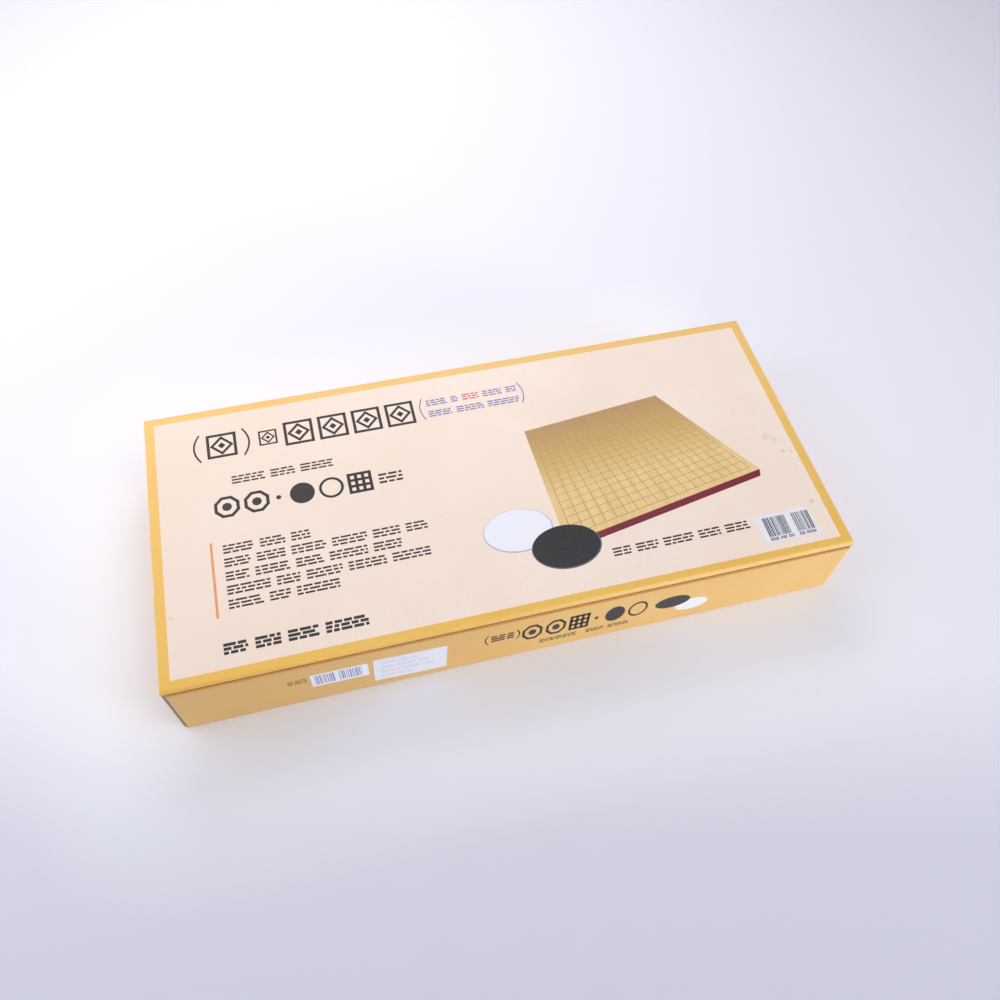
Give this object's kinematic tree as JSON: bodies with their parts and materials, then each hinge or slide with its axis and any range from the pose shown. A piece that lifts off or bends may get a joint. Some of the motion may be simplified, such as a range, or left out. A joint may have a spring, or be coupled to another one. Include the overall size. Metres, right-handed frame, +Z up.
{
  "type": "folding weiqi board in a carton",
  "caption": "Closed corrugated carton with a tuck-in lid, holding a folding go and janggi board whose halves are joined by butt hinges.",
  "frame": {"origin": "centre of the carton's footprint, on the surface that it stands on", "axes": "+X along the carton's length to the right, -Y towards the edge where the lid opens, +Z up"},
  "size_m": [0.474, 0.2198, 0.0605],
  "materials": {
    "carton_board": "uncoated corrugated board, printed yellow outside and grey inside",
    "printed_wall": "satin yellow print",
    "printed_lid": "satin cream print with a yellow border",
    "label_paper": "matte white paper",
    "core_wood": "raw wood",
    "go_veneer": "satin lacquer",
    "janggi_veneer": "satin lacquer",
    "edge_lacquer": "satin maroon lacquer",
    "hinge_brass": "brushed",
    "screw_steel": "plated"
  },
  "bodies": {
    "carton": {"base_panel": "carton_board", "front_wall": "printed_wall", "rear_wall": "carton_board", "left_wall_outer": "carton_board", "right_wall_outer": "carton_board", "left_wall_inner": "carton_board", "right_wall_inner": "carton_board", "front_left_flap": "carton_board", "front_right_flap": "carton_board", "rear_left_flap": "carton_board", "rear_right_flap": "carton_board", "paper_label": "label_paper", "lower_core": "core_wood", "lower_go_face": "go_veneer", "lower_janggi_face": "janggi_veneer", "lower_edge_band": "edge_lacquer", "left_hinge_lower_leaf": "hinge_brass", "left_hinge_pin": "screw_steel", "right_hinge_lower_leaf": "hinge_brass", "right_hinge_pin": "screw_steel", "lower_hinge_screws": "screw_steel"},
    "lid": {"lid_panel": "printed_lid"},
    "tuck": {"tuck_flap": "carton_board"},
    "upper_half": {"upper_core": "core_wood", "upper_go_face": "go_veneer", "upper_janggi_face": "janggi_veneer", "upper_edge_band": "edge_lacquer", "left_hinge_upper_leaf": "hinge_brass", "right_hinge_upper_leaf": "hinge_brass", "upper_hinge_screws": "screw_steel"}
  },
  "joints": [
    {"name": "lid_hinge", "type": "hinge", "parent": "carton", "child": "lid", "pos_m": [0, 0.1098, 0.0589], "axis": [-1, 0, 0], "range_deg": [0, 180]},
    {"name": "tuck_flap_fold", "type": "hinge", "parent": "lid", "child": "tuck", "pos_m": [0, -0.1079, 0.0574], "axis": [-1, 0, 0], "range_deg": [0, 90]},
    {"name": "board_fold", "type": "hinge", "parent": "carton", "child": "upper_half", "pos_m": [0, 0.1058, 0.0288], "axis": [-1, 0, 0], "range_deg": [0, 0.7]}
  ],
  "couplings": [
    {"joint": "tuck_flap_fold", "follows": "lid_hinge", "ratio": 0.5}
  ]
}
